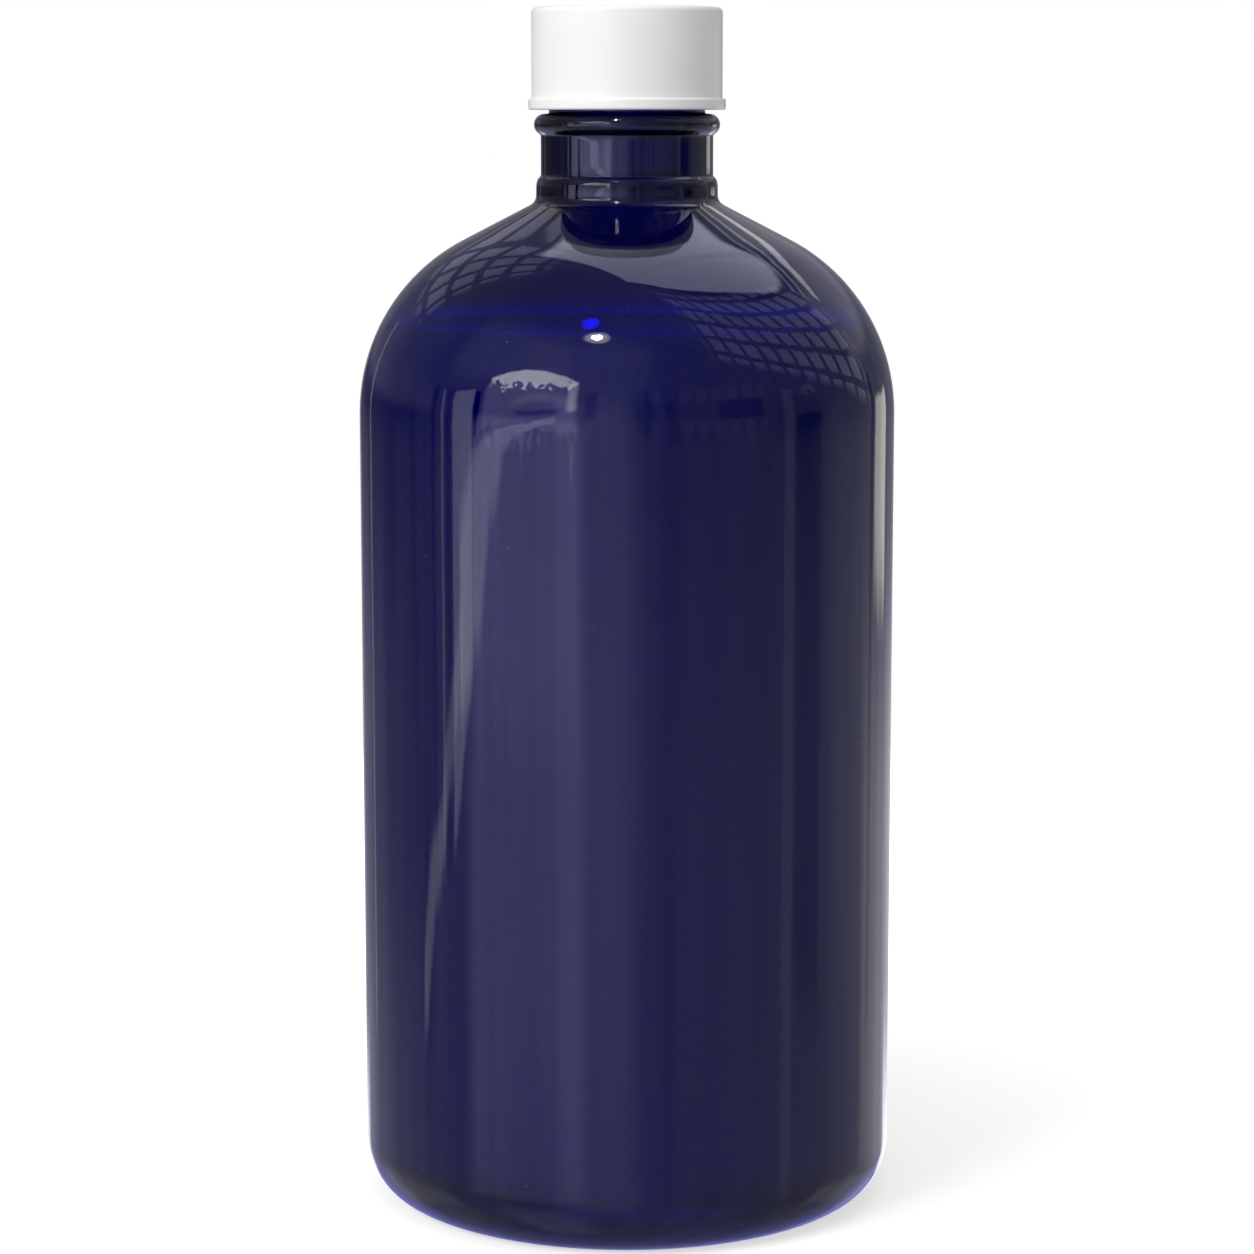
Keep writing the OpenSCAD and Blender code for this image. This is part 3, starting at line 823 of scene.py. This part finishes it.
# how much bluer the surround is towards the ground under the bottle, beside it, and elsewhere
LOW_BLUE, SIDE_BLUE, MIDDLE_BLUE = 2.7, 1.3, 1.25
LOW_START, BESIDE = (-30.0, -12.0), (0.30, 0.85)  # elevations, and shares of the direction along X
DIM, FLOOR_GAIN, FLOOR_START = 0.21, 0.17, (-11.0, -2.0)  # its levels, and the floor's edge in elevation
MOTTLE, STREAKS = (0.7, 1.3), (0.72, 1.28)  # least and greatest share of the level
STREAK_ACROSS, STREAK_UP = 0.13, 0.012  # how often the streaks change with a degree of azimuth, elevation
LEAVES = (-9.0, 9.5)  # height of the leaves, in degrees
PANE_EDGE = (0.32, 0.40)  # shares of the repeat, from a pane's middle
WAVER, AZIMUTH_WAVES, ELEVATION_WAVES = 2.4, 11.0, 9.0  # degrees, and scales of the noise
SPOT_EDGE, GLOW_EDGE = (0.4, 1.5), (1.5, 9.0)  # in squared shares of the half width and height


def panes_mask(tree, azimuth, elevation, centre, high, tilt, width, tall):
    """1 in the panes of a grid whose rows are tilted, and 0 on the bars between them: a point is in a pane
    when its place in the repeat is away from both edges."""
    aside = work(tree, "SUBTRACT", azimuth, centre)
    rise = work(tree, "MULTIPLY", aside, tilt)
    up = work(tree, "SUBTRACT", work(tree, "SUBTRACT", elevation, high), rise)
    mask = None
    for value, repeat in ((aside, width), (up, tall)):
        place = work(tree, "FRACT", work(tree, "DIVIDE", value, repeat))
        away = work(tree, "ABSOLUTE", work(tree, "SUBTRACT", place, 0.5))
        inside = ramp(tree, away, *PANE_EDGE, 1.0, 0.0)
        mask = inside if mask is None else work(tree, "MULTIPLY", mask, inside)
    return mask


def make_surround_group():
    """The studio that the glass mirrors, by direction: a dim level that is brighter and bluer towards the
    floor, the soft panels, rows of panes, and the lamp, which stands elsewhere for rays from inside the
    glass (Inside is 1) and for rays mirrored twice (Twice is 1). The azimuth runs from -Y towards +X, in
    degrees."""
    group, given, out = new_group(
        "Mirrored studio",
        [("Direction", VECTOR, None), ("Inside", VALUE, 0.0), ("Twice", VALUE, 0.0)],
        [("Color", COLOUR)],
    )
    direction = given.outputs["Direction"]
    part = add(group, "ShaderNodeSeparateXYZ", {"Vector": direction}).outputs
    back = work(group, "MULTIPLY", part["Y"], -1.0)
    azimuth = work(group, "DEGREES", work(group, "ARCTAN2", part["X"], back))
    elevation = work(group, "DEGREES", work(group, "ARCSINE", part["Z"]))
    azimuth = wavering(group, direction, azimuth, AZIMUTH_WAVES, WAVER)
    elevation = wavering(group, direction, elevation, ELEVATION_WAVES, WAVER)
    base = work(group, "ADD", ramp(group, elevation, *FLOOR_START, FLOOR_GAIN, 0.0), DIM)
    total = work(group, "MULTIPLY", base, ramp_line(group, noise(group, direction, 5.0, 3.0), *MOTTLE))
    leaves = ramp_line(group, noise(group, direction, 26.0, 3.0), *LEAVES)
    panel = make_panel_group()

    def lit(name, *values, **more):
        """The level of one panel of that name, with its values in the order of the tables."""
        keys = ("Centre_azimuth", "Centre_elevation", "Half_width", "Half_height", "Tilt", "Drop",
                "Flatness")
        area = use_group(
            group, panel, Azimuth=azimuth, Elevation=elevation, **dict(zip(keys, values)), **more
        )
        area.label = name
        return area.outputs["Level"]

    for name, centre, high, half_w, half_h, tilt, level, width, tall in PANES:
        mask = panes_mask(group, azimuth, elevation, centre, high, tilt, width, tall)
        area = lit(name, centre, high, half_w, half_h, tilt, Edge=5.0, Level=level)
        total = work(group, "MULTIPLY_ADD", area, mask, total)
    low = ramp(group, elevation, *LOW_START, 1.0, 0.0)
    ground = ramp(group, work(group, "ABSOLUTE", part["X"]), *BESIDE, LOW_BLUE, SIDE_BLUE)
    bluer = work(group, "MULTIPLY_ADD", low, work(group, "SUBTRACT", ground, MIDDLE_BLUE), MIDDLE_BLUE)
    below = work(group, "MULTIPLY", total, bluer)
    light = add(group, "ShaderNodeCombineXYZ", {"X": total, "Y": total, "Z": below}).outputs["Vector"]
    for name, centre, high, half_w, half_h, edge, level, tone, *bend in PANELS:
        level = lit(name, centre, high, half_w, half_h, *bend, Leaves=leaves, Edge=edge, Level=level)
        light = vector_work(group, "ADD", light, vector_work(group, "SCALE", tone, Scale=level))
    place = add(group, "ShaderNodeCombineXYZ", {
        "X": work(group, "MULTIPLY", azimuth, STREAK_ACROSS),
        "Y": work(group, "MULTIPLY", elevation, STREAK_UP),
    }).outputs["Vector"]
    streak = ramp_line(group, noise(group, place, 1.0, 4.0), *STREAKS)
    light = vector_work(group, "SCALE", light, Scale=streak)
    inside, twice = given.outputs["Inside"], given.outputs["Twice"]
    once = work(group, "SUBTRACT", 1.0, work(group, "ADD", inside, twice))
    for shown, spot in zip((once, inside, twice), SPOTS):
        centre, high, half_w, half_h, level, glow = spot
        wide = half_w / cos(radians(high))
        across = work(group, "DIVIDE", work(group, "SUBTRACT", azimuth, centre), wide)
        up = work(group, "DIVIDE", work(group, "SUBTRACT", elevation, high), half_h)
        away = work(group, "ADD", work(group, "MULTIPLY", across, across), work(group, "MULTIPLY", up, up))
        core = ramp(group, away, *SPOT_EDGE, level, 0.0)
        bright = work(group, "ADD", core, ramp(group, away, *GLOW_EDGE, glow, 0.0))
        light = vector_work(group, "ADD", light, work(group, "MULTIPLY", bright, shown))
    group.links.new(light, out.inputs["Color"])
    return group


def make_world(stage):
    """White to the camera, white or the brighter of the studio's panels through the glass, the studio to
    what mirrors it, and even light of the fill's level for everything else."""
    world = bpy.data.worlds.new("studio")
    world.use_nodes = True
    tree = world.node_tree
    tree.nodes.clear()
    direction = add(tree, "ShaderNodeTexCoord").outputs["Generated"]
    path = add(tree, "ShaderNodeLightPath").outputs
    outside = work(tree, "SUBTRACT", 1.0, path["Is Transmission Ray"])
    twice = work(tree, "MULTIPLY", work(tree, "GREATER_THAN", path["Glossy Depth"], 1.5), outside)
    surround = use_group(
        tree, shared("Mirrored studio", make_surround_group), Direction=direction,
        Inside=path["Is Transmission Ray"], Twice=twice,
    )
    white, fill = opaque([1.0] * 3), opaque([stage.fill] * 3)
    clean = work(tree, "LESS_THAN", path["Diffuse Depth"], 0.5)
    through = work(tree, "MULTIPLY", path["Is Transmission Ray"], clean)
    mirrored = work(tree, "MAXIMUM", path["Is Glossy Ray"], through)
    seen = work(tree, "MAXIMUM", path["Is Camera Ray"], path["Is Transmission Ray"])
    even = add(tree, "ShaderNodeBackground", {"Color": blend(tree, seen, fill, white)}).outputs[0]
    studio = blend(
        tree, path["Is Transmission Ray"], surround.outputs["Color"], white, blend_type="LIGHTEN"
    )
    panels = add(tree, "ShaderNodeBackground", {"Color": studio, "Strength": stage.surround}).outputs[0]
    add(tree, "ShaderNodeOutputWorld", {"Surface": mixed_shader(tree, mirrored, even, panels)})
    world.cycles.sampling_method = "NONE"
    bpy.context.scene.world = world


FLOOR_SHADES = (0.58, 0.60)
SHADOW_REACH, SHADOW_LIFT = (0.06, 0.30), 0.62  # metres from the axis, and the lift where it is deepest


def floor_material():
    """Pale floor. It takes the object's shadow, is brightened to white for the camera and through the
    glass, and lets what mirrors it see the studio's own floor."""
    material, tree, place = new_material("pale_floor")
    pale = blend(tree, noise(tree, place, 40.0, 3.0), *(opaque([shade] * 3) for shade in FLOOR_SHADES))
    path = add(tree, "ShaderNodeLightPath").outputs
    near = ramp(tree, vector_work(tree, "LENGTH", place), *SHADOW_REACH, SHADOW_LIFT, 1.0)
    seen = work(tree, "MULTIPLY", path["Is Camera Ray"], near)
    lifted = work(tree, "MAXIMUM", seen, path["Is Transmission Ray"])
    matt = add(tree, "ShaderNodeBsdfDiffuse", {"Color": pale}).outputs["BSDF"]
    lift = add(tree, "ShaderNodeEmission", {"Strength": lifted}).outputs["Emission"]
    both = add(tree, "ShaderNodeAddShader", {0: matt, 1: lift}).outputs["Shader"]
    clear = add(tree, "ShaderNodeBsdfTransparent").outputs["BSDF"]
    surface = mixed_shader(tree, path["Is Glossy Ray"], both, clear)
    add(tree, "ShaderNodeOutputMaterial", {"Surface": surface})
    return material


LAMPS = (
    # name, azimuth, elevation, distance, size, power
    ("key", -43, 30, 1.3, 0.7, 10.3),
    ("top", 0, 72, 1.4, 0.9, 3.0),
)


def make_stage(stage):
    """The floor as a fan of rings, soft lamps that aim at the bottle, the world and the camera."""
    scene = bpy.context.scene
    scene.view_settings.view_transform = "Standard"
    ring = np.linspace(stage.floor_size, 0, 12)
    rows = np.stack([ring, np.zeros_like(ring)], axis=1)
    rows = np.concatenate([[(0, -1 * MM)], rows])
    floor = turned_mesh("floor", *grid_of(rows, 96))
    floor.data.materials.append(floor_material())
    aim = np.array([0, 0, BOTTLE_HIGH.z / 2])
    for name, azimuth, elevation, distance, size, power in LAMPS:
        light = bpy.data.lights.new(name, "AREA")
        light.shape, light.size, light.energy = "DISK", size, power
        lamp = bpy.data.objects.new(name, light)
        a, e = radians(azimuth), radians(elevation)
        lamp.location = aim + distance * np.array([sin(a) * cos(e), -cos(a) * cos(e), sin(e)])
        lamp.rotation_euler = (pi / 2 - e, 0, a)
        lamp.visible_glossy = False
        scene.collection.objects.link(lamp)
    make_world(stage)
    data = bpy.data.cameras.new("camera")
    data.lens, data.sensor_width = stage.camera_lens, stage.camera_sensor
    camera = bpy.data.objects.new("camera", data)
    camera.location = (0, -stage.camera_distance, stage.camera_height)
    camera.rotation_euler = (pi / 2 - stage.camera_pitch, 0, 0)
    scene.collection.objects.link(camera)
    scene.camera = camera


class BuildStage(bpy.types.Operator):
    """Makes the floor, the lamps, the mirrored studio and the camera."""

    bl_idname = "bottle.stage"
    bl_label = "Stage"

    def execute(self, context):
        make_stage(context.scene.bottle_stage)
        return {"FINISHED"}


class BuildBottle(bpy.types.Operator):
    """Makes the blown bottle of blue glass."""

    bl_idname = "bottle.glass"
    bl_label = "Glass bottle"

    def execute(self, context):
        piece = make_bottle(context.scene.bottle_sizes)
        material = glass_material(context.scene.bottle_finish)
        finished(piece, material, "bottle", "glass_bottle")
        return {"FINISHED"}


class BuildLiquid(bpy.types.Operator):
    """Makes the still liquid in the bottle."""

    bl_idname = "bottle.liquid"
    bl_label = "Liquid"

    def execute(self, context):
        piece = make_liquid(context.scene.bottle_sizes)
        finished(piece, liquid_material(context.scene.bottle_finish), "bottle", "contents")
        return {"FINISHED"}


class BuildCap(bpy.types.Operator):
    """Makes the moulded screw cap."""

    bl_idname = "bottle.cap"
    bl_label = "Screw cap"

    def execute(self, context):
        piece = make_cap(context.scene.cap_sizes, context.scene.bottle_sizes)
        finished(piece, plastic_material(context.scene.bottle_finish), "cap", "cap")
        return {"FINISHED"}


class BuildDisc(bpy.types.Operator):
    """Makes the sealing disc under the cap's top."""

    bl_idname = "bottle.disc"
    bl_label = "Sealing disc"

    def execute(self, context):
        piece = make_disc(context.scene.cap_sizes, context.scene.bottle_sizes)
        finished(piece, foam_material(context.scene.bottle_finish), "liner", "liner")
        return {"FINISHED"}


OPERATORS = (BuildStage, BuildBottle, BuildLiquid, BuildCap, BuildDisc)


class BottlePanel(bpy.types.Panel):
    """Lists the steps and the values that they use."""

    bl_idname = "VIEW3D_PT_bottle"
    bl_label = "Glass bottle"
    bl_space_type = "VIEW_3D"
    bl_region_type = "UI"
    bl_category = "Bottle"

    def draw(self, context):
        for operator in OPERATORS:
            self.layout.operator(operator.bl_idname)
        for name in SETTINGS:
            box = self.layout.box()
            group = getattr(context.scene, name)
            for value in group.bl_rna.properties:
                if value.identifier not in ("rna_type", "name"):
                    box.prop(group, value.identifier)


SETTINGS = {
    "bottle_sizes": BottleSizes,
    "cap_sizes": CapSizes,
    "bottle_finish": BottleFinish,
    "bottle_stage": StageSettings,
}
CLASSES = (*SETTINGS.values(), *OPERATORS, BottlePanel)


def register():
    for made in CLASSES:
        bpy.utils.register_class(made)
    for name, group in SETTINGS.items():
        setattr(bpy.types.Scene, name, PointerProperty(type=group))


def unregister():
    for name in SETTINGS:
        delattr(bpy.types.Scene, name)
    for made in reversed(CLASSES):
        bpy.utils.unregister_class(made)


def corners(box):
    """A box's two corners as plain lists of numbers."""
    return [[float(part) for part in corner] for corner in box]


def main():
    register()
    bpy.ops.bottle.stage()
    bpy.ops.bottle.glass()
    bpy.ops.bottle.liquid()
    bpy.ops.bottle.cap()
    bpy.ops.bottle.disc()
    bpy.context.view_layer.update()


if __name__ == "__main__":
    main()
